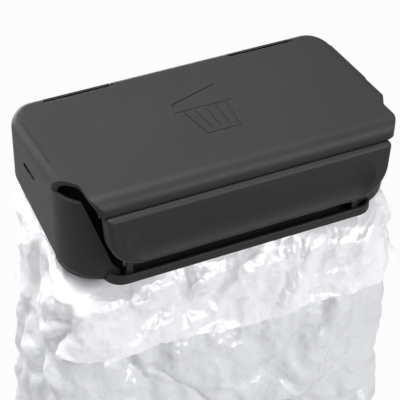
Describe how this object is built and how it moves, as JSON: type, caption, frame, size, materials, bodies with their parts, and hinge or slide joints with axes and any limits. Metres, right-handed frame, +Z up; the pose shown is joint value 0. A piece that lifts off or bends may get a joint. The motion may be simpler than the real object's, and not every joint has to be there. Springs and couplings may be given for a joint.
{
  "type": "hang-on waste bag bin",
  "caption": "Hang-on bin head with a sprung lid over a gripped liner bag and a tilting front compartment that dispenses spare bags from a roll.",
  "frame": {"origin": "centre of the rear mounting face, between the two threaded inserts", "axes": "+Z up, -Y towards the front of the bin, +X to the right seen from the front"},
  "size_m": [0.218, 0.106, 0.272],
  "materials": {
    "shell_plastic": "fine satin moulded",
    "ring_plastic": "satin moulded",
    "seal_rubber": "matte",
    "pin_steel": "drawn, blackened",
    "screw_steel": "dark zinc",
    "insert_brass": "turned",
    "liner_film": "thin crinkled translucent film",
    "roll_film": "wound film",
    "core_card": "plain"
  },
  "bodies": {
    "body": {"housing": "shell_plastic", "mount_inserts": "insert_brass", "hinge_pin_left": "pin_steel", "hinge_pin_right": "pin_steel", "hinge_spring_left": "pin_steel", "hinge_spring_right": "pin_steel", "base_plate": "shell_plastic", "base_screws": "screw_steel", "bay_divider": "shell_plastic", "cradle_catch": "pin_steel", "compartment_pins": "pin_steel"},
    "lid": {"lid": "shell_plastic", "lid_seal": "seal_rubber"},
    "ring": {"bag_ring": "ring_plastic", "liner_bag": "liner_film"},
    "compartment": {"compartment_front": "shell_plastic", "roll_cradle": "ring_plastic", "cradle_screws": "screw_steel"},
    "roll": {"bag_roll": "roll_film", "roll_core": "core_card", "roll_spindle": "pin_steel", "spindle_caps": "ring_plastic"}
  },
  "joints": [
    {"name": "lid_hinge", "type": "hinge", "parent": "body", "child": "lid", "pos_m": [0, -0.005, 0.019], "axis": [-1, 0, 0], "range_deg": [0, 90]},
    {"name": "compartment_tilt", "type": "hinge", "parent": "body", "child": "compartment", "pos_m": [0, -0.092, -0.0235], "axis": [1, 0, 0], "range_deg": [0, 40]},
    {"name": "roll_spin", "type": "hinge", "parent": "compartment", "child": "roll", "pos_m": [0, -0.081, -0.008], "axis": [1, 0, 0], "continuous": true},
    {"name": "ring_pull", "type": "slide", "parent": "body", "child": "ring", "axis": [0, 0, -1], "range_m": [0, 0.03]}
  ]
}
